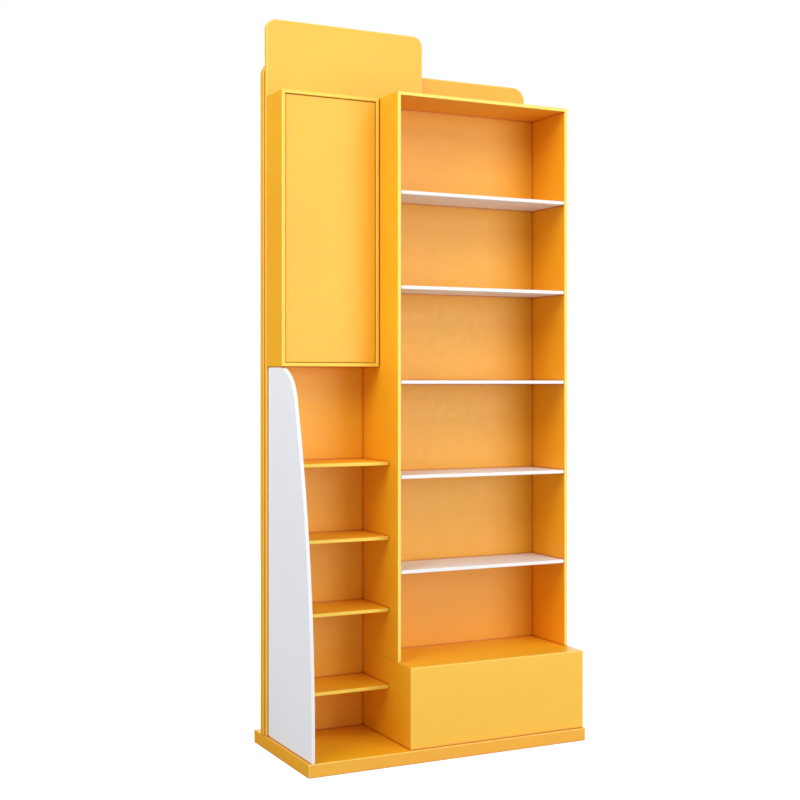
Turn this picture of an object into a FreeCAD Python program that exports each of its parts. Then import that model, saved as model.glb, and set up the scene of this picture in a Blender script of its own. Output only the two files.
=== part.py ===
import FreeCAD, Part
import os
from collections import namedtuple
import Sketcher

# Floor-standing display stand of rigid cardboard boards, in millimetres.
# X runs left to right, Y from the open front to the back and Z up from the floor.
# Outlines are drawn from the front left corner of the base, and each body is then
# placed so that the origin lies under the middle of the base.

# Driving sizes: name, millimetres, what it measures
SIZES = [
    ("base_width", 868, "base, left to right"),
    ("base_depth", 410, "base, front to back"),
    ("base_height", 36, "base, floor to deck"),
    ("base_wall", 10, "board that the base cover is folded from"),
    ("base_rounding", 2, "rounding of the base cover's folds"),
    ("rib_front_place", 96, "front long rib, from the front of the base"),
    ("rib_rear_place", 306, "rear long rib, from the front of the base"),
    ("rib_left_place", 154, "left cross rib, from the left of the base"),
    ("rib_middle_place", 430, "middle cross rib, from the left of the base"),
    ("rib_right_place", 704, "right cross rib, from the left of the base"),
    ("board", 10, "rigid board of every wall, shelf and rib"),
    ("bevel", 1.2, "softened edge of a board"),
    ("tongue_length", 60, "tongue, along the board's edge"),
    ("tongue_thickness", 5, "tongue, across the board"),
    ("tongue_depth", 4, "tongue, into its slot"),
    ("tongue_margin", 24, "from a board's corner to its first tongue"),
    ("fit_gap", 0.2, "clearance of a slot around its tongue"),
    ("end_gap", 0.3, "clearance of a shelf's end from its wall"),
    ("rear_ledge", 50, "base that shows behind the back board"),
    ("left_ledge", 6, "base that lies beside the poster box, seen from above"),
    ("side_ledge", 9.5, "base that shows beside the white side panel"),
    ("right_ledge", 3, "base that shows beside the right walls"),
    ("front_ledge", 7, "base that shows before the closed box"),
    ("back_height", 1920, "back board, above the deck"),
    ("back_thickness", 24, "back board, front to back"),
    ("back_inset", 0.5, "back board, in from each side of the base"),
    ("back_corner", 40, "radius of the back board's top corners"),
    ("header_thickness", 16, "header board, front to back"),
    ("header_height", 2036, "header board, above the deck"),
    ("header_width", 496, "header board, left to right"),
    ("header_inset", 4, "header board, in from the left of the base"),
    ("header_corner", 30, "radius of the header board's top corners"),
    ("cabinet_width", 560, "cabinet and closed box, over their side walls"),
    ("cabinet_height", 1590, "cabinet, above the closed box"),
    ("cabinet_setback", 82, "cabinet's front behind the front of the closed box"),
    ("cabinet_cavity", 42, "space behind the cabinet's back panel"),
    ("box_height", 224, "closed box, above the deck"),
    ("brace_spacing", 186, "between the two braces in the closed box"),
    ("shelf_pitch", 265, "from one white shelf to the next"),
    ("shelf_setback", 2, "white shelf behind the cabinet's front"),
    ("poster_height", 766, "poster box, down from the cabinet's top"),
    ("poster_depth", 114, "poster box, before the header board"),
    ("poster_gap", 1.5, "poster box, from the cabinet's wall"),
    ("panel_inset", 4, "poster panel behind the front of its box"),
    ("panel_gap", 1.5, "gap around the poster panel"),
    ("cleat", 20, "side of the square cleats behind the poster panel"),
    ("side_gap", 1, "white side panel below the poster box"),
    ("side_setback", 3, "foot of the white side panel behind the base's front"),
    ("side_upright", 64, "straight foot of the white side panel's front edge"),
    ("side_sweep", 3400, "radius of the white side panel's long front curve"),
    ("side_shoulder", 120, "radius of the white side panel's top front corner"),
    ("bay_shelf_depth", 176, "bay shelf, front to back"),
    ("bay_floor_space", 142, "deck to the underside of the lowest bay shelf"),
    ("bay_lower_pitch", 216, "lowest bay shelf to the next"),
    ("bay_middle_pitch", 202, "between the two middle bay shelves"),
    ("bay_upper_pitch", 210, "up to the top bay shelf"),
]

# Places that follow from the sizes, from the front left corner of the base on the floor
PLACES = [
    ("deck", "=sizes.base_height", "top of the base"),
    ("rib_top", "=deck - sizes.base_wall", "top of the base ribs"),
    ("rib_half", "=rib_top / 2", "depth of a halving notch"),
    ("back_rear", "=sizes.base_depth - sizes.rear_ledge", "rear of the back board"),
    ("back_front", "=back_rear - sizes.back_thickness", "front of the back board"),
    ("back_left", "=sizes.back_inset", "left edge of the back board"),
    ("back_right", "=sizes.base_width - sizes.back_inset", "right edge of the back board"),
    ("back_top", "=deck + sizes.back_height", "top of the back board"),
    ("header_front", "=back_front - sizes.header_thickness", "front of the header board"),
    ("header_left", "=sizes.header_inset", "left edge of the header board"),
    ("header_right", "=header_left + sizes.header_width", "right edge of the header board"),
    ("header_top", "=deck + sizes.header_height", "top of the header board"),
    ("cabinet_right", "=sizes.base_width - sizes.right_ledge", "outer right face"),
    ("inner_right", "=cabinet_right - sizes.board", "inner right face"),
    ("cabinet_left", "=cabinet_right - sizes.cabinet_width", "outer left face"),
    ("inner_left", "=cabinet_left + sizes.board", "inner left face"),
    ("box_front", "=sizes.front_ledge", "front of the closed box"),
    ("box_inside", "=box_front + sizes.board", "rear of the box's front board"),
    ("box_top", "=deck + sizes.box_height", "top of the closed box"),
    ("box_ceiling", "=box_top - sizes.board", "underside of the box's top board"),
    ("brace_middle", "=(cabinet_left + inner_right) / 2", "midway between the braces"),
    ("brace_left", "=brace_middle - sizes.brace_spacing / 2", "left face of one brace"),
    ("brace_right", "=brace_middle + sizes.brace_spacing / 2", "left face of the other"),
    ("cabinet_front", "=box_front + sizes.cabinet_setback", "front of the cabinet"),
    ("cabinet_top", "=box_top + sizes.cabinet_height", "top of the cabinet"),
    ("ceiling", "=cabinet_top - sizes.board", "underside of the cabinet's top"),
    ("panel_rear", "=header_front - sizes.cabinet_cavity", "rear of the back panel"),
    ("panel_front", "=panel_rear - sizes.board", "front of the back panel"),
    ("shelf_front", "=cabinet_front + sizes.shelf_setback", "front of the white shelves"),
    ("poster_left", "=sizes.left_ledge", "left face of the poster box"),
    ("poster_right", "=cabinet_left - sizes.poster_gap", "right face of the poster box"),
    ("poster_top", "=cabinet_top", "top of the poster box"),
    ("poster_bottom", "=poster_top - sizes.poster_height", "underside of the poster box"),
    ("poster_front", "=header_front - sizes.poster_depth", "front of the poster box"),
    ("poster_face", "=poster_front + sizes.panel_inset", "front of the poster panel"),
    ("cleat_front", "=poster_face + sizes.board", "front of the cleats"),
    ("side_left", "=sizes.side_ledge", "left face of the white side panel"),
    ("side_inner", "=side_left + sizes.board", "right face of the white side panel"),
    ("side_front", "=sizes.side_setback", "front foot of the white side panel"),
    ("side_bend", "=deck + sizes.side_upright", "where its long front curve starts"),
    ("side_top", "=poster_bottom - sizes.side_gap", "top of the white side panel"),
    ("bay_front", "=header_front - sizes.bay_shelf_depth", "front of the bay shelves"),
    ("bay_shelf_4", "=deck + sizes.bay_floor_space", "underside of the lowest bay shelf"),
    ("bay_shelf_3", "=bay_shelf_4 + sizes.bay_lower_pitch", "underside of the third"),
    ("bay_shelf_2", "=bay_shelf_3 + sizes.bay_middle_pitch", "underside of the second"),
    ("bay_shelf_1", "=bay_shelf_2 + sizes.bay_upper_pitch", "underside of the top one"),
]

WHITE_SHELVES = 5
BAY_SHELVES = 4
SPACERS = 3
AXES = ("X", "Y", "Z")
FLAT = 0.01

doc = FreeCAD.newDocument("display_stand")
bodies = []


# Sheets

def make_sheet(name, rows):
    sheet = doc.addObject("Spreadsheet::Sheet", name)
    for row, (alias, content, note) in enumerate(rows, start=1):
        sheet.set(f"A{row}", alias)
        sheet.set(f"B{row}", str(content))
        sheet.set(f"C{row}", note)
        sheet.setAlias(f"B{row}", alias)
    return sheet


sizes = make_sheet("sizes", SIZES)
places = make_sheet("places", PLACES)
doc.recompute()


def value(text):
    return float(places.evalExpression(text))


# Sketches, pads and pockets

def make_body(label):
    body = doc.addObject("PartDesign::Body", label)
    body.Label = label
    body.setExpression("Placement.Base.x", "-sizes.base_width / 2")
    body.setExpression("Placement.Base.y", "-sizes.base_depth / 2")
    bodies.append(body)
    return body


def origin_part(body, role):
    return next(feature for feature in body.Origin.OriginFeatures if feature.Role == role)


def make_sketch(body, plane, place):
    sketch = body.newObject("Sketcher::SketchObject", "Sketch")
    sketch.AttachmentSupport = [(origin_part(body, f"{plane}_Plane"), "")]
    sketch.MapMode = "FlatFace"
    # The XZ plane's normal points to the front, so its offset is counted the other way
    sign = "-1 * " if plane == "XZ" else ""
    sketch.setExpression("AttachmentOffset.Base.z", f"{sign}({place})")
    return sketch


def hold_point(sketch, edge, end, point):
    for kind, text in zip(("DistanceX", "DistanceY"), point):
        held = sketch.addConstraint(Sketcher.Constraint(kind, -1, 1, edge, end, value(text)))
        sketch.setExpression(f"Constraints[{held}]", text)


def draw_outline(sketch, points):
    corners = [FreeCAD.Vector(value(first), value(second), 0) for first, second in points]
    start = sketch.GeometryCount
    count = len(points)
    follower = [(i + 1) % count for i in range(count)]
    sketch.addGeometry([Part.LineSegment(corners[i], corners[follower[i]]) for i in range(count)])
    sketch.addConstraint(
        [Sketcher.Constraint("Coincident", start + i, 2, start + follower[i], 1) for i in range(count)]
    )
    for i, point in enumerate(points):
        hold_point(sketch, start + i, 1, point)


def rectangle(first, second):
    return [
        (first[0], second[0]),
        (first[1], second[0]),
        (first[1], second[1]),
        (first[0], second[1]),
    ]


def add_feature(body, kind, plane, outlines, low, high):
    starts_high = (kind == "Pocket") != (plane == "XZ")
    sketch = make_sketch(body, plane, high if starts_high else low)
    for points in outlines:
        draw_outline(sketch, points)
    feature = body.newObject(f"PartDesign::{kind}", kind)
    feature.Profile = sketch
    feature.setExpression("Length", f"({high}) - ({low})")
    body.Tip = feature
    return feature


def pad(body, plane, outlines, low, high):
    return add_feature(body, "Pad", plane, outlines, low, high)


def pocket(body, plane, outlines, low, high):
    return add_feature(body, "Pocket", plane, outlines, low, high)


# Edges to soften or round

def extents(edge):
    box = edge.BoundBox
    return (box.XLength, box.YLength, box.ZLength)


def every_edge(edge):
    return True


def rim(axis):
    """Edges that lie flat across the axis."""
    return lambda edge: extents(edge)[AXES.index(axis)] < FLAT


def along(axis):
    """Straight edges that run with the axis."""
    others = [i for i, name in enumerate(AXES) if name != axis]
    return lambda edge: all(extents(edge)[i] < FLAT for i in others)


def along_at_top(axis, top):
    height = value(top)
    return lambda edge: along(axis)(edge) and edge.BoundBox.ZMin > height - FLAT


def dress(body, kind, size_name, size, wanted):
    doc.recompute()
    base = body.Tip
    names = [f"Edge{i}" for i, edge in enumerate(base.Shape.Edges, start=1) if wanted(edge)]
    feature = body.newObject(f"PartDesign::{kind}", kind)
    feature.Base = (base, names)
    feature.setExpression(size_name, size)
    body.Tip = feature


def bevel(body, wanted=every_edge):
    dress(body, "Chamfer", "Size", "sizes.bevel", wanted)


def round_off(body, radius, wanted):
    dress(body, "Fillet", "Radius", radius, wanted)


# Spans, each a pair of expressions

def board_span(low):
    return (low, f"{low} + sizes.board")


def core(low, thickness="sizes.board"):
    return (
        f"{low} + ({thickness} - sizes.tongue_thickness) / 2",
        f"{low} + ({thickness} + sizes.tongue_thickness) / 2",
    )


def tongue_pair(low, high):
    return [
        (
            f"{low} + sizes.tongue_margin",
            f"{low} + sizes.tongue_margin + sizes.tongue_length",
        ),
        (
            f"{high} - sizes.tongue_margin - sizes.tongue_length",
            f"{high} - sizes.tongue_margin",
        ),
    ]


def loosened(span):
    return (f"{span[0]} - sizes.fit_gap", f"{span[1]} + sizes.fit_gap")


# A joint is two tongues that cross the seat plane between two boards

Joint = namedtuple("Joint", "plane first second seat")


def foot(first, second, seat="places.deck"):
    return Joint("XY", first, second, seat)


def white_shelf_place(number):
    return f"places.ceiling - {number} * sizes.shelf_pitch - sizes.board"


def white_shelf_joint(number, seat):
    depth = tongue_pair("places.shelf_front", "places.panel_front")
    return Joint("YZ", depth, [core(white_shelf_place(number))], seat)


def bay_shelf_joint(number, seat):
    depth = tongue_pair("places.bay_front", "places.header_front")
    return Joint("YZ", depth, [core(f"places.bay_shelf_{number}")], seat)


BOX_DEPTH = tongue_pair("places.box_inside", "places.header_front")
WALL_DEPTH = tongue_pair("places.cabinet_front", "places.header_front")
BOX_RISE = tongue_pair("places.deck", "places.box_top")
PANEL_RISE = tongue_pair("places.box_top", "places.ceiling")
POSTER_RISE = tongue_pair("places.poster_bottom", "places.poster_top")
SIDE_RISE = tongue_pair("places.deck", "places.side_top")

BACK_FOOT = foot(
    tongue_pair("places.back_left", "places.back_right"),
    [core("places.back_front", "sizes.back_thickness")],
)
HEADER_FOOT = foot(
    tongue_pair("places.header_left", "places.header_right"),
    [core("places.header_front", "sizes.header_thickness")],
)
SIDE_FOOT = foot(
    [core("places.side_left")],
    tongue_pair("places.side_front", "places.header_front"),
)
BOX_FRONT_FOOT = foot(
    tongue_pair("places.cabinet_left", "places.cabinet_right"),
    [core("places.box_front")],
)
BOX_LEFT_FOOT = foot([core("places.cabinet_left")], BOX_DEPTH)
BOX_RIGHT_FOOT = foot([core("places.inner_right")], BOX_DEPTH)
BRACE_LEFT_FOOT = foot([core("places.brace_left")], BOX_DEPTH)
BRACE_RIGHT_FOOT = foot([core("places.brace_right")], BOX_DEPTH)
WALL_LEFT_FOOT = foot([core("places.cabinet_left")], WALL_DEPTH, "places.box_top")
WALL_RIGHT_FOOT = foot([core("places.inner_right")], WALL_DEPTH, "places.box_top")
BOX_LEFT_CORNER = Joint("XZ", [core("places.cabinet_left")], BOX_RISE, "places.box_inside")
BOX_RIGHT_CORNER = Joint("XZ", [core("places.inner_right")], BOX_RISE, "places.box_inside")
PANEL_LEFT = Joint("YZ", [core("places.panel_front")], PANEL_RISE, "places.inner_left")
PANEL_RIGHT = Joint("YZ", [core("places.panel_front")], PANEL_RISE, "places.inner_right")
SIDE_REAR = Joint("XZ", [core("places.side_left")], SIDE_RISE, "places.header_front")
POSTER_LEFT_REAR = Joint(
    "XZ", [core("places.poster_left")], POSTER_RISE, "places.header_front"
)
POSTER_RIGHT_REAR = Joint(
    "XZ", [core("places.poster_right - sizes.board")], POSTER_RISE, "places.header_front"
)


def add_tongues(body, *joints):
    for joint in joints:
        outlines = [rectangle(a, b) for a in joint.first for b in joint.second]
        low = f"{joint.seat} - sizes.tongue_depth"
        high = f"{joint.seat} + sizes.tongue_depth"
        pad(body, joint.plane, outlines, low, high)


def cut_slots(body, side, *joints):
    """Slots for joints that share one plane and seat; side is the board's side of the seat."""
    outlines = [
        rectangle(loosened(a), loosened(b))
        for joint in joints
        for a in joint.first
        for b in joint.second
    ]
    seat = joints[0].seat
    depth = "sizes.tongue_depth + sizes.fit_gap"
    if side == "below":
        return pocket(body, joints[0].plane, outlines, f"{seat} - ({depth})", seat)
    return pocket(body, joints[0].plane, outlines, seat, f"{seat} + {depth}")


# Base: a folded cover, open below, over two long and three cross ribs

LONG_RIBS = {
    "base_rib_front": "sizes.rib_front_place",
    "base_rib_rear": "sizes.rib_rear_place",
}
CROSS_RIBS = {
    "base_rib_left": "sizes.rib_left_place",
    "base_rib_middle": "sizes.rib_middle_place",
    "base_rib_right": "sizes.rib_right_place",
}
INSIDE_WIDTH = ("sizes.base_wall", "sizes.base_width - sizes.base_wall")
INSIDE_DEPTH = ("sizes.base_wall", "sizes.base_depth - sizes.base_wall")


def make_base_cover():
    body = make_body("base_cover")
    outside = rectangle(("0", "sizes.base_width"), ("0", "sizes.base_depth"))
    pad(body, "XY", [outside], "0", "places.deck")
    round_off(body, "sizes.base_rounding", lambda edge: edge.BoundBox.ZMax > FLAT)
    pocket(body, "XY", [rectangle(INSIDE_WIDTH, INSIDE_DEPTH)], "0", "places.rib_top")
    cut_slots(
        body,
        "below",
        BACK_FOOT,
        HEADER_FOOT,
        SIDE_FOOT,
        BOX_FRONT_FOOT,
        BOX_LEFT_FOOT,
        BOX_RIGHT_FOOT,
        BRACE_LEFT_FOOT,
        BRACE_RIGHT_FOOT,
    )


def make_rib(label, plane, length, place, crossings, notch_rise):
    body = make_body(label)
    pad(body, plane, [rectangle(length, ("0", "places.rib_top"))], *board_span(place))
    notches = [rectangle(loosened(board_span(other)), notch_rise) for other in crossings]
    pocket(body, plane, notches, *board_span(place))


def make_base():
    make_base_cover()
    upper = ("places.rib_half", "places.rib_top")
    lower = ("0", "places.rib_half")
    for label, place in LONG_RIBS.items():
        make_rib(label, "XZ", INSIDE_WIDTH, place, CROSS_RIBS.values(), upper)
    for label, place in CROSS_RIBS.items():
        make_rib(label, "YZ", INSIDE_DEPTH, place, LONG_RIBS.values(), lower)


# Back board and, before it, the taller header board

def make_upright(label, left, right, top, low, high, corner):
    body = make_body(label)
    pad(body, "XZ", [rectangle((left, right), ("places.deck", top))], low, high)
    round_off(body, corner, along_at_top("Y", top))
    bevel(body, rim("Y"))
    return body


def make_back():
    back = make_upright(
        "back_board",
        "places.back_left",
        "places.back_right",
        "places.back_top",
        "places.back_front",
        "places.back_rear",
        "sizes.back_corner",
    )
    add_tongues(back, BACK_FOOT)
    header = make_upright(
        "header_board",
        "places.header_left",
        "places.header_right",
        "places.header_top",
        "places.header_front",
        "places.back_front",
        "sizes.header_corner",
    )
    add_tongues(header, HEADER_FOOT)
    cut_slots(header, "above", SIDE_REAR, POSTER_LEFT_REAR, POSTER_RIGHT_REAR)


# Closed box under the cabinet

def make_box_side(label, left, rear, foot_joint, corner_joint, wall_joint):
    body = make_body(label)
    outline = rectangle(("places.box_inside", rear), ("places.deck", "places.box_top"))
    pad(body, "YZ", [outline], *board_span(left))
    bevel(body, rim("X"))
    add_tongues(body, foot_joint, corner_joint)
    cut_slots(body, "below", wall_joint)
    return body


def make_brace(label, left, joint):
    body = make_body(label)
    outline = rectangle(
        ("places.box_inside", "places.header_front"), ("places.deck", "places.box_ceiling")
    )
    pad(body, "YZ", [outline], *board_span(left))
    add_tongues(body, joint)


def make_closed_box():
    front = make_body("box_front")
    face = rectangle(
        ("places.cabinet_left", "places.cabinet_right"), ("places.deck", "places.box_top")
    )
    pad(front, "XZ", [face], *board_span("places.box_front"))
    bevel(front)
    add_tongues(front, BOX_FRONT_FOOT)
    cut_slots(front, "below", BOX_LEFT_CORNER, BOX_RIGHT_CORNER)

    left = make_box_side(
        "box_left_side",
        "places.cabinet_left",
        "places.header_front",
        BOX_LEFT_FOOT,
        BOX_LEFT_CORNER,
        WALL_LEFT_FOOT,
    )
    cut_slots(left, "above", bay_shelf_joint(BAY_SHELVES, "places.cabinet_left"))
    make_box_side(
        "box_right_side",
        "places.inner_right",
        "places.back_front",
        BOX_RIGHT_FOOT,
        BOX_RIGHT_CORNER,
        WALL_RIGHT_FOOT,
    )

    top = make_body("box_top")
    plan = rectangle(
        ("places.inner_left", "places.inner_right"), ("places.box_inside", "places.header_front")
    )
    pad(top, "XY", [plan], *board_span("places.box_ceiling"))
    bevel(top, rim("Z"))
    make_brace("box_brace_left", "places.brace_left", BRACE_LEFT_FOOT)
    make_brace("box_brace_right", "places.brace_right", BRACE_RIGHT_FOOT)


# Tall cabinet with mitred top corners

def make_cabinet_wall(label, outer, inner, rear, foot_joint, panel_joint, slot_side):
    body = make_body(label)
    face = [
        (outer, "places.box_top"),
        (inner, "places.box_top"),
        (inner, "places.ceiling"),
        (outer, "places.cabinet_top"),
    ]
    pad(body, "XZ", [face], "places.cabinet_front", rear)
    bevel(body, along("Z"))
    add_tongues(body, foot_joint)
    cut_slots(body, slot_side, panel_joint)
    lowest = cut_slots(body, slot_side, white_shelf_joint(WHITE_SHELVES, inner))
    pattern = body.newObject("PartDesign::LinearPattern", "LinearPattern")
    pattern.Originals = [lowest]
    pattern.Direction = (origin_part(body, "Z_Axis"), [""])
    pattern.setExpression("Length", f"{WHITE_SHELVES - 1} * sizes.shelf_pitch")
    pattern.Occurrences = WHITE_SHELVES
    body.Tip = pattern
    return body


def make_cabinet_top():
    body = make_body("cabinet_top")
    face = [
        ("places.cabinet_left", "places.cabinet_top"),
        ("places.inner_left", "places.ceiling"),
        ("places.inner_right", "places.ceiling"),
        ("places.cabinet_right", "places.cabinet_top"),
    ]
    pad(body, "XZ", [face], "places.cabinet_front", "places.back_front")
    bevel(body, along("X"))
    # The header board stands in a notch of the rear edge
    notch = rectangle(
        ("places.cabinet_left - sizes.board", "places.header_right + sizes.fit_gap"),
        ("places.header_front", "places.back_front + sizes.board"),
    )
    low = "places.ceiling - sizes.board"
    high = "places.cabinet_top + sizes.board"
    pocket(body, "XY", [notch], low, high)


def make_cabinet_back():
    body = make_body("cabinet_back")
    face = rectangle(
        ("places.inner_left", "places.inner_right"), ("places.box_top", "places.ceiling")
    )
    pad(body, "XZ", [face], *board_span("places.panel_front"))
    add_tongues(body, PANEL_LEFT, PANEL_RIGHT)


def make_spacer(number):
    body = make_body(f"cabinet_spacer_{number}")
    plan = rectangle(
        ("places.inner_left", "places.header_right"), ("places.panel_rear", "places.header_front")
    )
    share = f"{number} / {SPACERS + 1}"
    low = f"places.box_top + sizes.cabinet_height * {share} - sizes.board / 2"
    pad(body, "XY", [plan], *board_span(low))


def make_shelf(label, left, right, front, rear, low, joints):
    body = make_body(label)
    plan = rectangle((f"{left} + sizes.end_gap", f"{right} - sizes.end_gap"), (front, rear))
    pad(body, "XY", [plan], *board_span(low))
    bevel(body)
    add_tongues(body, *joints)


def make_cabinet():
    left = make_cabinet_wall(
        "cabinet_left_wall",
        "places.cabinet_left",
        "places.inner_left",
        "places.header_front",
        WALL_LEFT_FOOT,
        PANEL_LEFT,
        "below",
    )
    bay_joints = [bay_shelf_joint(n, "places.cabinet_left") for n in range(1, BAY_SHELVES)]
    cut_slots(left, "above", *bay_joints)
    make_cabinet_wall(
        "cabinet_right_wall",
        "places.cabinet_right",
        "places.inner_right",
        "places.back_front",
        WALL_RIGHT_FOOT,
        PANEL_RIGHT,
        "above",
    )
    make_cabinet_top()
    make_cabinet_back()
    for number in range(1, SPACERS + 1):
        make_spacer(number)
    for number in range(1, WHITE_SHELVES + 1):
        make_shelf(
            f"white_shelf_{number}",
            "places.inner_left",
            "places.inner_right",
            "places.shelf_front",
            "places.panel_front",
            white_shelf_place(number),
            [white_shelf_joint(number, seat) for seat in ("places.inner_left", "places.inner_right")],
        )


# Poster box, mitred at its four corners, with a panel set into its front

POSTER_INNER_LEFT = "places.poster_left + sizes.board"
POSTER_INNER_RIGHT = "places.poster_right - sizes.board"
POSTER_INNER_BOTTOM = "places.poster_bottom + sizes.board"
POSTER_INNER_TOP = "places.poster_top - sizes.board"


def make_poster_wall(label, outer, inner, joint):
    body = make_body(label)
    face = [
        (outer, "places.poster_bottom"),
        (inner, POSTER_INNER_BOTTOM),
        (inner, POSTER_INNER_TOP),
        (outer, "places.poster_top"),
    ]
    pad(body, "XZ", [face], "places.poster_front", "places.header_front")
    bevel(body, along("Z"))
    add_tongues(body, joint)


def make_poster_end(label, outer, inner):
    body = make_body(label)
    face = [
        ("places.poster_left", outer),
        (POSTER_INNER_LEFT, inner),
        (POSTER_INNER_RIGHT, inner),
        ("places.poster_right", outer),
    ]
    pad(body, "XZ", [face], "places.poster_front", "places.header_front")
    bevel(body, along("X"))


def make_cleat(label, left, right):
    body = make_body(label)
    face = rectangle((left, right), (POSTER_INNER_BOTTOM, POSTER_INNER_TOP))
    pad(body, "XZ", [face], "places.cleat_front", "places.cleat_front + sizes.cleat")


def make_poster_box():
    make_poster_wall(
        "poster_box_left", "places.poster_left", POSTER_INNER_LEFT, POSTER_LEFT_REAR
    )
    make_poster_wall(
        "poster_box_right", "places.poster_right", POSTER_INNER_RIGHT, POSTER_RIGHT_REAR
    )
    make_poster_end("poster_box_top", "places.poster_top", POSTER_INNER_TOP)
    make_poster_end("poster_box_bottom", "places.poster_bottom", POSTER_INNER_BOTTOM)

    panel = make_body("poster_panel")
    face = rectangle(
        (f"{POSTER_INNER_LEFT} + sizes.panel_gap", f"{POSTER_INNER_RIGHT} - sizes.panel_gap"),
        (f"{POSTER_INNER_BOTTOM} + sizes.panel_gap", f"{POSTER_INNER_TOP} - sizes.panel_gap"),
    )
    pad(panel, "XZ", [face], *board_span("places.poster_face"))
    bevel(panel)
    make_cleat("poster_cleat_left", POSTER_INNER_LEFT, f"{POSTER_INNER_LEFT} + sizes.cleat")
    make_cleat("poster_cleat_right", f"{POSTER_INNER_RIGHT} - sizes.cleat", POSTER_INNER_RIGHT)


# Left bay: white side panel with a swept front edge, and four shelves

def sweep_top():
    """How far back the long curve has come where it meets the panel's top."""
    radius = value("sizes.side_sweep")
    rise = value("places.side_top - places.side_bend")
    return value("places.side_front") + radius - (radius**2 - rise**2) ** 0.5


def draw_side_outline(sketch):
    front = value("places.side_front")
    rear = value("places.header_front")
    foot_height = value("places.deck")
    bend = value("places.side_bend")
    top = value("places.side_top")
    radius = value("sizes.side_sweep")
    crest = FreeCAD.Vector(sweep_top(), top, 0)
    start = FreeCAD.Vector(front, bend, 0)
    toe = FreeCAD.Vector(front, foot_height, 0)
    heel = FreeCAD.Vector(rear, foot_height, 0)
    shoulder = FreeCAD.Vector(rear, top, 0)
    centre = FreeCAD.Vector(front + radius, bend, 0)
    half = (crest + start) * 0.5 - centre
    middle = centre + half.normalize() * radius

    sketch.addGeometry(
        [
            Part.LineSegment(toe, heel),
            Part.LineSegment(heel, shoulder),
            Part.LineSegment(shoulder, crest),
            Part.Arc(crest, middle, start),
            Part.LineSegment(start, toe),
        ]
    )
    bottom_edge, rear_edge, top_edge, sweep, upright = range(5)
    # An arc's own start and end follow its turning direction, so they are looked up
    arc = sketch.Geometry[sweep]
    crest_end = 1 if arc.StartPoint.isEqual(crest, FLAT) else 2
    start_end = 3 - crest_end
    sketch.addConstraint(
        [
            Sketcher.Constraint("Coincident", bottom_edge, 2, rear_edge, 1),
            Sketcher.Constraint("Coincident", rear_edge, 2, top_edge, 1),
            Sketcher.Constraint("Coincident", top_edge, 2, sweep, crest_end),
            Sketcher.Constraint("Tangent", sweep, start_end, upright, 1),
            Sketcher.Constraint("Coincident", upright, 2, bottom_edge, 1),
            Sketcher.Constraint("Horizontal", top_edge),
            Sketcher.Constraint("Vertical", upright),
        ]
    )
    hold_point(sketch, bottom_edge, 1, ("places.side_front", "places.deck"))
    hold_point(sketch, rear_edge, 1, ("places.header_front", "places.deck"))
    hold_point(sketch, top_edge, 1, ("places.header_front", "places.side_top"))
    rise = sketch.addConstraint(Sketcher.Constraint("DistanceY", -1, 1, upright, 1, bend))
    sketch.setExpression(f"Constraints[{rise}]", "places.side_bend")
    bow = sketch.addConstraint(Sketcher.Constraint("Radius", sweep, radius))
    sketch.setExpression(f"Constraints[{bow}]", "sizes.side_sweep")


def make_side_panel():
    body = make_body("side_panel")
    sketch = make_sketch(body, "YZ", "places.side_left")
    draw_side_outline(sketch)
    plate = body.newObject("PartDesign::Pad", "Pad")
    plate.Profile = sketch
    plate.setExpression("Length", "sizes.board")
    body.Tip = plate
    crest = sweep_top()
    front_corner = along_at_top("X", "places.side_top")
    round_off(
        body,
        "sizes.side_shoulder",
        lambda edge: front_corner(edge) and abs(edge.BoundBox.YMin - crest) < 1,
    )
    bevel(body, rim("X"))
    add_tongues(body, SIDE_FOOT, SIDE_REAR)
    shelf_joints = [bay_shelf_joint(n, "places.side_inner") for n in range(1, BAY_SHELVES + 1)]
    cut_slots(body, "below", *shelf_joints)


def make_bay():
    make_side_panel()
    for number in range(1, BAY_SHELVES + 1):
        make_shelf(
            f"bay_shelf_{number}",
            "places.side_inner",
            "places.cabinet_left",
            "places.bay_front",
            "places.header_front",
            f"places.bay_shelf_{number}",
            [bay_shelf_joint(number, seat) for seat in ("places.side_inner", "places.cabinet_left")],
        )


# Build, test and write every sub-part

def check_document():
    doc.recompute()
    for item in doc.Objects:
        if "Invalid" in item.State or "Error" in item.State:
            raise RuntimeError(f"{item.Name} failed: {item.State}")
    for body in bodies:
        if body.Shape.isNull() or not body.Shape.isValid():
            raise RuntimeError(f"{body.Label} has no valid shape")
        if len(body.Shape.Solids) != 1:
            raise RuntimeError(f"{body.Label} has {len(body.Shape.Solids)} solids")


def write_parts():
    os.makedirs("parts", exist_ok=True)
    for body in bodies:
        body.Shape.exportStep(f"parts/{body.Label}.step")
        print(f"{body.Label}: {body.Shape.Volume / 1000:.1f} cm3")


make_base()
make_back()
make_closed_box()
make_cabinet()
make_poster_box()
make_bay()
check_document()
write_parts()
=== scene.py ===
# %% [markdown]
# # A cardboard display stand, dressed for its picture
#
# The stand is a flat-pack shop display of rigid honeycomb board. Its boards come from the
# CAD model as finished solids, so this lesson doesn't model them again. It sets up the
# camera and the studio, mixes the printed finish of each board, and adds the one piece that
# the solids leave out: the thin sheet of brown liner paper on the back.

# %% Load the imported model
import math

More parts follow.
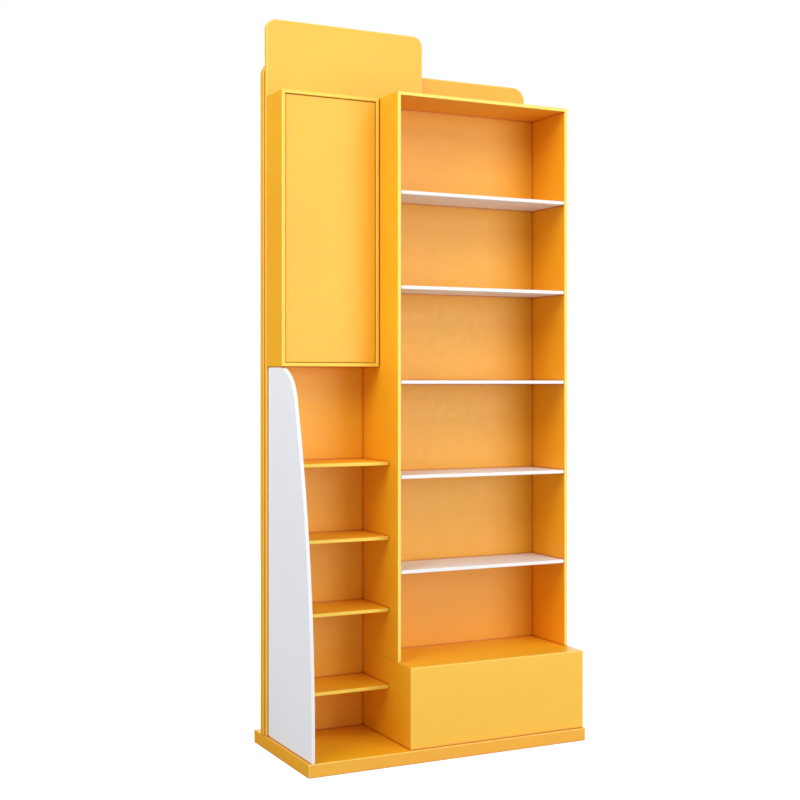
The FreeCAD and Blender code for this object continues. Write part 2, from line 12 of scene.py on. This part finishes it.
import bpy
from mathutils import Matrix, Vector


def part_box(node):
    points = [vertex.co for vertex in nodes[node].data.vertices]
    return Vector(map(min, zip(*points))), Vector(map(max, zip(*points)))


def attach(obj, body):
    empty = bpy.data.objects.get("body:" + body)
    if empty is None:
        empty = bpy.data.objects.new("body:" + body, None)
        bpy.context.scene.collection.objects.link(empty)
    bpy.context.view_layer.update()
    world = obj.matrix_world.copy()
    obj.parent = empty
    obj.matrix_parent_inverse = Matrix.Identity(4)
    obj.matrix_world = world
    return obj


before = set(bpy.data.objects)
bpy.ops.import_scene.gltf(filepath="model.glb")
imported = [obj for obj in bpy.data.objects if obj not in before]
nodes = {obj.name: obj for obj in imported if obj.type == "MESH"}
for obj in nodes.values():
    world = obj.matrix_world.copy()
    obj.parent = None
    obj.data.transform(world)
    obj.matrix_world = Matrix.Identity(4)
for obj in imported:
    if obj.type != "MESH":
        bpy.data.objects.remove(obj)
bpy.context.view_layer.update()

# %% [markdown]
# ## The camera
#
# The picture was taken from the front left, at about half the stand's height, with a level
# camera: the uprights stay upright, and the horizon lies a little above the middle. A level
# camera with a small shift gives exactly that, where a tilted one would make the walls lean.
# The place, the turn and the lens come from fitting the corners that can be read in the picture.

# %% Camera
IMAGE_SIDE = 800
FOCAL_PIXELS = 1359.16
HORIZON_ROW = 382.08
SENSOR = 36.0
EYE = Vector((-1.80358, -3.50151, 1.04024))
TURN_RIGHT = math.radians(26.404)
FARTHEST_SEEN = 100

lens = bpy.data.cameras.new("camera")
camera = bpy.data.objects.new("camera", lens)
bpy.context.scene.collection.objects.link(camera)
camera.location = EYE
camera.rotation_euler = (math.radians(90), 0, -TURN_RIGHT)
lens.sensor_width = SENSOR
lens.lens = SENSOR * FOCAL_PIXELS / IMAGE_SIDE
lens.shift_y = (HORIZON_ROW - IMAGE_SIDE / 2) / IMAGE_SIDE
lens.clip_end = FARTHEST_SEEN
bpy.context.scene.camera = camera
print("lens", round(lens.lens, 2), "mm, shift", round(lens.shift_y, 4))

# %% [markdown]
# ## Shader maths as Python
#
# A material is a chain of nodes. Wiring each one by hand is slow to read, so one small class
# holds an output socket and turns plain arithmetic into Math nodes. `1 - mask` works as well
# as `mask * 2`. Every other node comes from one method: its type, its settings, and then the
# values or links of its sockets.

# %% The socket wrapper
class Wire:
    """An output socket in a node tree. Arithmetic on it adds Math nodes."""

    def __init__(self, tree, socket=None):
        self.tree = tree
        self.socket = socket

    def node(self, kind, settings=None, sockets=None, out=0):
        """A new node in the same tree, as a Wire on one of its outputs."""
        made = self.tree.nodes.new(kind)
        for key, value in (settings or {}).items():
            setattr(made, key, value)
        for key, value in (sockets or {}).items():
            if isinstance(value, Wire):
                self.tree.links.new(value.socket, made.inputs[key])
            else:
                made.inputs[key].default_value = value
        return Wire(self.tree, made.outputs[out]) if made.outputs else made

    def maths(self, operation, first, second):
        return self.node("ShaderNodeMath", {"operation": operation}, {0: first, 1: second})

    def __add__(self, other):
        return self.maths("ADD", self, other)

    def __radd__(self, other):
        return self.maths("ADD", other, self)

    def __sub__(self, other):
        return self.maths("SUBTRACT", self, other)

    def __rsub__(self, other):
        return self.maths("SUBTRACT", other, self)

    def __mul__(self, other):
        return self.maths("MULTIPLY", self, other)

    def __rmul__(self, other):
        return self.maths("MULTIPLY", other, self)

    def least(self, other):
        return self.maths("MINIMUM", self, other)

    def most(self, other):
        return self.maths("MAXIMUM", self, other)

    def step(self, low, high, bottom=0.0, top=1.0):
        """A soft step from bottom to top, while this value goes from low to high."""
        return self.node(
            "ShaderNodeMapRange",
            {"interpolation_type": "SMOOTHSTEP"},
            {"Value": self, "From Min": low, "From Max": high, "To Min": bottom, "To Max": top},
        )


def colour(red, green, blue):
    """A screen colour from 0 to 255, as the linear values that Blender works in."""
    linear = []
    for part in (red, green, blue):
        part = part / 255
        linear.append(part / 12.92 if part <= 0.04045 else ((part + 0.055) / 1.055) ** 2.4)
    return (*linear, 1.0)


def blend(factor, first, second):
    """A colour between first and second."""
    return factor.node(
        "ShaderNodeMix",
        {"data_type": "RGBA", "clamp_factor": True},
        {0: factor, 6: first, 7: second},
        out=2,
    )


def new_paint(name):
    """An empty material, and a Wire to start its nodes from."""
    paint = bpy.data.materials.new(name)
    paint.use_nodes = True
    paint.node_tree.nodes.clear()
    return paint, Wire(paint.node_tree)


print("socket wrapper ready")

# %% [markdown]
# ## Floor
#
# The stand is shown on plain white. The floor is a large pale sheet. What the camera sees of
# it is lifted to white by Light Path, so the light on the stand stays at a plain level, and
# the soft shadow at its foot is kept.

# %% Floor
FLOOR_SIZE = 40.0
FLOOR_WHITE = colour(190, 190, 190)
FLOOR_OWN_LIGHT = 0.905
FLOOR_SEEN = 0.42
WHITE_LIGHT = (1, 1, 1, 1)


def seen_directly(wire):
    """1 for rays that show the surroundings: camera, mirror and glass rays."""
    path = wire.node("ShaderNodeLightPath")
    outputs = path.socket.node.outputs
    camera_ray = Wire(wire.tree, outputs["Is Camera Ray"])
    glossy_ray = Wire(wire.tree, outputs["Is Glossy Ray"])
    through_ray = Wire(wire.tree, outputs["Is Transmission Ray"])
    return camera_ray.most(glossy_ray).most(through_ray)


bpy.ops.object.select_all(action="DESELECT")
bpy.ops.mesh.primitive_plane_add(size=FLOOR_SIZE, location=(0, 0, 0))
floor = bpy.context.object
floor.name = "floor"

floor_paint, start = new_paint("floor_white")
matt = start.node("ShaderNodeBsdfDiffuse", None, {"Color": FLOOR_WHITE})
glow = start.node(
    "ShaderNodeEmission", None, {"Color": WHITE_LIGHT, "Strength": FLOOR_OWN_LIGHT}
)
faint = start.node(
    "ShaderNodeBsdfDiffuse", None, {"Color": (FLOOR_SEEN, FLOOR_SEEN, FLOOR_SEEN, 1)}
)
seen = start.node("ShaderNodeAddShader", None, {0: glow, 1: faint})
mixed = start.node("ShaderNodeMixShader", None, {0: seen_directly(start), 1: matt, 2: seen})
start.node("ShaderNodeOutputMaterial", None, {"Surface": mixed})
floor.data.materials.append(floor_paint)
print("floor", FLOOR_SIZE, "m wide")

# %% [markdown]
# ## World
#
# The world does the same behind the stand. It is plain white where it is seen or mirrored,
# and it lights the stand only a little, so that the lamps shape the boards.

# %% World
WORLD_LEVEL = 0.24
WORLD_SEEN = 1.0

world = bpy.data.worlds.new("studio")
bpy.context.scene.world = world
world.use_nodes = True
world.node_tree.nodes.clear()
start = Wire(world.node_tree)
strength = seen_directly(start).step(0.0, 1.0, WORLD_LEVEL, WORLD_SEEN)
sky = start.node("ShaderNodeBackground", None, {"Color": WHITE_LIGHT, "Strength": strength})
start.node("ShaderNodeOutputWorld", None, {"Surface": sky})
bpy.context.scene.view_settings.view_transform = "Standard"
print("world level", WORLD_LEVEL)

# %% [markdown]
# ## Lamps
#
# Five soft boxes, all wide, so no shadow has a sharp edge. The largest stands in front, to the
# right of the camera, where all faces that look forward mirror it: they turn pale, as satin
# print does. One above the front makes each compartment a little darker under its shelf. Two
# light the left sides, and the last one fills the back for the views from behind.

# %% Lamps
AIM = Vector((0.0, 0.0, 1.0))


def soft_box(name, place, width, height, watts):
    """A wide area lamp that looks at the middle of the stand."""
    lamp = bpy.data.lights.new(name, "AREA")
    lamp.shape = "RECTANGLE"
    lamp.size = width
    lamp.size_y = height
    lamp.energy = watts
    body = bpy.data.objects.new(name, lamp)
    bpy.context.scene.collection.objects.link(body)
    body.location = place
    body.rotation_euler = (AIM - Vector(place)).to_track_quat("-Z", "Y").to_euler()


soft_box("lamp_front_right", place=(1.9, -3.6, 1.1), width=2.7, height=2.9, watts=71)
soft_box("lamp_front_high", place=(0.6, -2.9, 3.8), width=2.6, height=2.0, watts=47)
soft_box("lamp_left_high", place=(-2.8, -1.3, 3.5), width=2.2, height=2.2, watts=79)
soft_box("lamp_left_low", place=(-3.3, 0.3, 1.4), width=2.2, height=2.2, watts=27)
soft_box("lamp_back", place=(1.6, 3.6, 2.2), width=2.6, height=2.6, watts=75)
print("five soft boxes")

# %% [markdown]
# ## Dark cards
#
# A photographer keeps a colour deep by standing a dark card where the surface would mirror a
# white wall. Seen from the camera, the left sides mirror what is behind the stand on the left,
# and the low base mirrors the floor there. So one card stands there and one lies on the floor.
# They are hidden from all rays but mirror rays, so they cast no shadow and aren't seen.

# %% Dark cards
CARD_BLACK = (0.02, 0.02, 0.02, 1)
HIDDEN_FROM = ("camera", "diffuse", "transmission", "volume_scatter", "shadow")

card_paint, start = new_paint("card_black")
black = start.node("ShaderNodeBsdfDiffuse", None, {"Color": CARD_BLACK})
start.node("ShaderNodeOutputMaterial", None, {"Surface": black})


def dark_card(name, place, size, facing):
    """A square black card that only mirror rays see."""
    bpy.ops.object.select_all(action="DESELECT")
    bpy.ops.mesh.primitive_plane_add(size=size, location=place)
    card = bpy.context.object
    card.name = name
    card.rotation_euler = Vector(facing).to_track_quat("Z", "Y").to_euler()
    bpy.ops.object.transform_apply(location=True, rotation=True, scale=True)
    for rays in HIDDEN_FROM:
        setattr(card, "visible_" + rays, False)
    card.data.materials.append(card_paint)


dark_card("dark_card_back", place=(-1.5, 2.1, 1.3), size=3.2, facing=(1.5, -2.1, -0.3))
dark_card("dark_card_floor", place=(-1.935, 0.6, 0.001), size=3.0, facing=(0, 0, 1))
print("two dark cards")

# %% [markdown]
# ## Inks
#
# The stand has two prints, a golden yellow and a white. Each ink set holds the print, a deeper
# tone that it drifts to, the tape on a cut edge, a paler colour for the painted highlight on
# edges and a darker colour for the painted shade in joints. Some sets are lit and shaded copies
# of one print: the yellow at the front and on the closed box is painted lighter, as if lit more,
# and the yellow inside the cabinet, on its ceiling and on its right wall, and the white of the
# shelves, is painted deeper, as shade.

# %% Inks
# In each ink set, rim is the paler colour of the painted edge highlight, and joint is the darker
# colour of the painted shade where boards meet.
YELLOW = {
    "print": colour(250, 181, 8),
    "deep": colour(248, 176, 6),
    "tape": colour(255, 231, 98),
    "rim": colour(255, 238, 128),
    "joint": colour(197, 72, 0),
}
# Lit and shaded copies: the front, box and panel yellows are painted lighter, as if lit more; the
# inside, wall and ceiling yellows are painted deeper, as shade.
LIT_FRONT_YELLOW = dict(YELLOW, print=colour(255, 191, 26), deep=colour(253, 187, 22))
SHADED_INSIDE_YELLOW = dict(YELLOW, print=colour(246, 175, 5), deep=colour(243, 170, 4))
SHADED_WALL_YELLOW = dict(YELLOW, print=colour(254, 175, 5), deep=colour(251, 170, 4))
SHADED_CEILING_YELLOW = dict(YELLOW, print=colour(240, 160, 4), deep=colour(237, 155, 3))
LIT_BOX_YELLOW = dict(YELLOW, print=colour(255, 199, 40), deep=colour(254, 195, 36))
LIT_PANEL_YELLOW = dict(LIT_FRONT_YELLOW, joint=colour(232, 160, 10))
FRAME_YELLOW = dict(YELLOW, tape=colour(255, 217, 66), joint=colour(226, 140, 4))
WHITE = {
    "print": colour(248, 250, 255),
    "deep": colour(245, 247, 253),
    "tape": colour(250, 250, 250),
    "rim": colour(252, 252, 252),
    "joint": colour(170, 120, 90),
}
# The shelves' white is painted greyer, as shade.
SHADED_SHELF_WHITE = dict(WHITE, print=colour(238, 238, 241), deep=colour(235, 235, 239))
print("ten ink sets")

# %% [markdown]
# ## The printed board
#
# Each board is honeycomb board under printed paper with a satin film. Up close it has fine
# paper grain, a very faint quilting where the core's cells show through, and a sheen that
# isn't quite even. Two masks come from Ambient Occlusion nodes. One looks into the board and
# finds its free edges, and paints a highlight there: a paler colour, made uneven by noise. The
# other looks outward and finds the joints, where two boards meet or a board meets the floor,
# and paints shade there: a darker, redder colour where little light reaches. The front edges of
# shelves and frames carry a pale tape. All of this is made from the board's own place in space,
# so it stays put from every side and needs no picture file.

# %% Board finish
SATIN = 0.50
SMOOTHER, ROUGHER, HIGHLIGHT_ROUGHER = 0.03, 0.04, 0.06
GLOSS = 0.90
CLOUDS_PER_METRE = 2.2
RUBS_PER_METRE = 45.0
GRAIN_PER_METRE = 850.0
CELLS_PER_METRE = 70.0
CELL_SMOOTHNESS = 0.6
GRAIN_HEIGHT = 0.000018
CELL_HEIGHT = 0.00006

# Each pair is where a soft step starts and ends. Depths are in metres.
CLOUD_SPREAD = (0.35, 0.65)
RUB_SPREAD = (0.30, 0.62)
SHEEN_SPREAD = (0.3, 0.7)
EDGE_FOUND = (0.62, 0.97)
JOINT_SHADE_FOUND = (0.40, 0.92)
HIGHLIGHT_PALER = (0.55, 0.85)
TAPE_PALER = (0.9, 1.0)
JOINT_SHADE_DARKER = 0.90
JOINT_SHADE_REACH = 0.0080
HIGHLIGHT_BEHIND_FRONT = (0.0014, 0.0028)
TAPE_BEHIND_FRONT = (0.0006, 0.0016)
TAPE_FROM_FACE = (0.0001, 0.0006)


def board_finish(name, inks, low, high, taped, rim_width, rim_all_round):
    """A material for one board, from its lowest and highest corner in metres."""
    paint, start = new_paint(name)
    place = start.node("ShaderNodeTexCoord", out=3)

    sizes = [high[k] - low[k] for k in range(3)]
    thin = sizes.index(min(sizes))
    along = [start.node("ShaderNodeSeparateXYZ", None, {0: place}, out=k) for k in range(3)]
    behind_front = along[1] - low[1]
    from_face = (along[thin] - low[thin]).least(high[thin] - along[thin])

    inward = start.node(
        "ShaderNodeAmbientOcclusion",
        {"samples": 4, "inside": True, "only_local": True},
        {"Distance": rim_width},
        out=1,
    )
    # Painted highlight: the free edges of the board get a paler colour.
    rim = inward.step(*EDGE_FOUND, 1.0, 0.0)
    if not rim_all_round:
        rim = rim * behind_front.step(*HIGHLIGHT_BEHIND_FRONT, 1.0, 0.0)
    # Painted shade: a darker colour where boards meet each other or the floor and little light
    # reaches.
    closeness = start.node(
        "ShaderNodeAmbientOcclusion", {"samples": 6}, {"Distance": JOINT_SHADE_REACH}, out=1
    )
    joint = closeness.step(*JOINT_SHADE_FOUND, JOINT_SHADE_DARKER, 0.0)

    cloud = start.node(
        "ShaderNodeTexNoise", None, {"Vector": place, "Scale": CLOUDS_PER_METRE, "Detail": 2.0}
    )
    rub = start.node(
        "ShaderNodeTexNoise", None, {"Vector": place, "Scale": RUBS_PER_METRE, "Detail": 4.0}
    )
    grain = start.node(
        "ShaderNodeTexNoise", None, {"Vector": place, "Scale": GRAIN_PER_METRE, "Detail": 3.0}
    )
    cells = start.node(
        "ShaderNodeTexVoronoi",
        {"feature": "SMOOTH_F1"},
        {"Vector": place, "Scale": CELLS_PER_METRE, "Smoothness": CELL_SMOOTHNESS},
    )

    printed = blend(cloud.step(*CLOUD_SPREAD), inks["print"], inks["deep"])
    # The painted edge highlight, made uneven by noise.
    printed = blend(rim * rub.step(*RUB_SPREAD, *HIGHLIGHT_PALER), printed, inks["rim"])
    if taped:
        tape = behind_front.step(*TAPE_BEHIND_FRONT, 1.0, 0.0) * from_face.step(*TAPE_FROM_FACE)
        printed = blend(tape * rub.step(*RUB_SPREAD, *TAPE_PALER), printed, inks["tape"])
    # The painted shade in joints and corners.
    printed = blend(joint, printed, inks["joint"])

    sheen = rub.step(*SHEEN_SPREAD, SATIN - SMOOTHER, SATIN + ROUGHER)
    height = grain * GRAIN_HEIGHT + cells * CELL_HEIGHT
    normal = start.node(
        "ShaderNodeBump", None, {"Strength": 1.0, "Distance": 1.0, "Height": height}
    )
    surface = start.node(
        "ShaderNodeBsdfPrincipled",
        None,
        {
            "Base Color": printed,
            "Roughness": sheen + rim * HIGHLIGHT_ROUGHER,
            "Normal": normal,
            "Specular IOR Level": GLOSS,
        },
    )
    start.node("ShaderNodeOutputMaterial", None, {"Surface": surface})
    return paint


print("board finish ready")

# %% [markdown]
# ## A finish for every board
#
# A board that has its own ink set is named here; these are the lit and shaded copies of the
# print. The others go by the first word of their name, and all that is left is plain yellow.
# Boards with open edges get a wide painted edge highlight. On the others it is as thin as a
# seam. Only the white side panel has the painted highlight all round, because its long edge
# swings back from the front.

# %% Print the boards
OWN_INKS = {
    "header_board": LIT_FRONT_YELLOW,
    "poster_panel": LIT_PANEL_YELLOW,
    "box_front": LIT_BOX_YELLOW,
    "cabinet_back": SHADED_INSIDE_YELLOW,
    "cabinet_top": SHADED_CEILING_YELLOW,
    "cabinet_right_wall": SHADED_WALL_YELLOW,
}
GROUP_INKS = {
    "side": WHITE,
    "white": SHADED_SHELF_WHITE,
    "poster": FRAME_YELLOW,
    "bay": FRAME_YELLOW,
}
TAPED = ("cabinet_left_wall", "cabinet_right_wall", "cabinet_top", "poster_box", "shelf")
# These boards get a wide painted edge highlight; the rest get a thin one.
WIDE_HIGHLIGHT_BOARDS = ("header", "back_board", "box_front", "base_cover", "poster_box", "side_panel", "shelf")
WIDE_HIGHLIGHT_WIDTH = 0.0042
SEAM_WIDTH = 0.0010

for name, board in nodes.items():
    low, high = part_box(name)
    inks = OWN_INKS.get(name, GROUP_INKS.get(name.split("_")[0], YELLOW))
    taped = any(word in name for word in TAPED)
    rim_width = WIDE_HIGHLIGHT_WIDTH if any(word in name for word in WIDE_HIGHLIGHT_BOARDS) else SEAM_WIDTH
    rim_all_round = name == "side_panel"
    finish = board_finish("print_" + name, inks, low, high, taped, rim_width, rim_all_round)
    for slot in board.material_slots:
        slot.material = finish
print(len(nodes), "boards printed")

# %% [markdown]
# ## The liner on the back
#
# The photograph never shows the back. Printed boards like these are lined there with plain
# brown paper, cut a little smaller than the board, so its raw edge shows as a thin step. It is
# a sheet with four rounded corners: a plane whose corner points are bevelled. An inset raises
# the middle a little, because only the border is pressed down hard with glue, and Solidify
# gives the sheet the paper's thickness.

# %% Back liner
LINER_INSET = 0.014
LINER_FOOT_GAP = 0.008
LINER_THICKNESS = 0.0003
LINER_RAISE = 0.0003
LINER_CORNER = 0.026
LINER_CORNER_STEPS = 10
LINER_FOOT_CORNER = 0.005
LINER_FOOT_CORNER_STEPS = 4
PRESSED_BORDER = 0.007
NEAR = 0.001
SMOOTH_BELOW = math.radians(30)

low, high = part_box("back_board")
liner_width = high[0] - low[0] - 2 * LINER_INSET
liner_height = high[2] - low[2] - 2 * LINER_INSET - LINER_FOOT_GAP
liner_middle = (low[2] + high[2] + LINER_FOOT_GAP) / 2
liner_foot = liner_middle - liner_height / 2
bpy.ops.object.select_all(action="DESELECT")
bpy.ops.mesh.primitive_plane_add(
    size=1,
    location=((low[0] + high[0]) / 2, high[1] + LINER_THICKNESS, liner_middle),
    rotation=(math.radians(-90), 0, 0),
)
liner = bpy.context.object
liner.name = "back_liner"
liner.scale = (liner_width, liner_height, 1)
bpy.ops.object.transform_apply(location=True, rotation=True, scale=True)


def select_points(body, wanted):
    """In edit mode, select only the points for which wanted(place) is true."""
    bpy.ops.mesh.select_mode(type="VERT")
    bpy.ops.mesh.select_all(action="DESELECT")
    bpy.ops.object.mode_set(mode="OBJECT")
    for point in body.data.vertices:
        point.select = wanted(point.co)
    bpy.ops.object.mode_set(mode="EDIT")


bpy.ops.object.mode_set(mode="EDIT")
select_points(liner, lambda place: place.z > liner_middle)
bpy.ops.mesh.bevel(offset=LINER_CORNER, segments=LINER_CORNER_STEPS, affect="VERTICES")
select_points(liner, lambda place: place.z < liner_foot + NEAR)
bpy.ops.mesh.bevel(
    offset=LINER_FOOT_CORNER, segments=LINER_FOOT_CORNER_STEPS, affect="VERTICES"
)
bpy.ops.mesh.select_all(action="SELECT")
bpy.ops.mesh.inset(thickness=PRESSED_BORDER, depth=LINER_RAISE)
bpy.ops.object.mode_set(mode="OBJECT")
sheet = liner.modifiers.new("paper", "SOLIDIFY")
sheet.thickness = LINER_THICKNESS
sheet.offset = -1
bpy.ops.object.modifier_apply(modifier="paper")
bpy.ops.object.shade_smooth_by_angle(angle=SMOOTH_BELOW)
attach(liner, "root")
print("back liner", round(liner_width, 3), "by", round(liner_height, 3), "m")

# %% [markdown]
# ## Brown paper
#
# Plain liner paper isn't printed. It has long fibres that lie along the web, faint bars where
# the core's walls press through, and small darker flecks. The fibres are noise stretched by a
# Mapping node, and the bars are a fine wave, so both stay on the sheet from every side.

# %% Paper finish
KRAFT = colour(203, 163, 112)
KRAFT_DARK = colour(184, 142, 92)
KRAFT_FLECK = colour(140, 100, 62)
FIBRES_PER_METRE = (40.0, 40.0, 600.0)
PATCHES_PER_METRE = 5.0
FLECKS_PER_METRE = 260.0
BARS_SCALE = 38.0
FLECK_FOUND = (0.66, 0.74)
FLECK_DARKER = 0.6
PAPER_ROUGHNESS = (0.78, 0.88)
FIBRE_HEIGHT = 0.00004
BAR_HEIGHT = 0.00005

paper, start = new_paint("brown_liner_paper")
place = start.node("ShaderNodeTexCoord", out=3)
stretched = start.node("ShaderNodeMapping", None, {"Vector": place, "Scale": FIBRES_PER_METRE})
fibre = start.node("ShaderNodeTexNoise", None, {"Vector": stretched, "Scale": 1.0, "Detail": 4.0})
patch = start.node(
    "ShaderNodeTexNoise", None, {"Vector": place, "Scale": PATCHES_PER_METRE, "Detail": 3.0}
)
fleck = start.node(
    "ShaderNodeTexNoise", None, {"Vector": place, "Scale": FLECKS_PER_METRE, "Detail": 2.0}
)
bars = start.node(
    "ShaderNodeTexWave",
    {"bands_direction": "Z"},
    {"Vector": place, "Scale": BARS_SCALE, "Distortion": 0.6, "Detail": 1.0},
    out=1,
)
tone = (fibre * 0.6 + patch * 0.4).step(*CLOUD_SPREAD)
brown = blend(tone, KRAFT, KRAFT_DARK)
brown = blend(fleck.step(*FLECK_FOUND, 0.0, FLECK_DARKER), brown, KRAFT_FLECK)
height = fibre * FIBRE_HEIGHT + bars * BAR_HEIGHT
normal = start.node("ShaderNodeBump", None, {"Strength": 1.0, "Distance": 1.0, "Height": height})
rough = fibre.step(*SHEEN_SPREAD, *PAPER_ROUGHNESS)
surface = start.node(
    "ShaderNodeBsdfPrincipled", None, {"Base Color": brown, "Roughness": rough, "Normal": normal}
)
start.node("ShaderNodeOutputMaterial", None, {"Surface": surface})
liner.data.materials.append(paper)
print("brown paper on the liner")
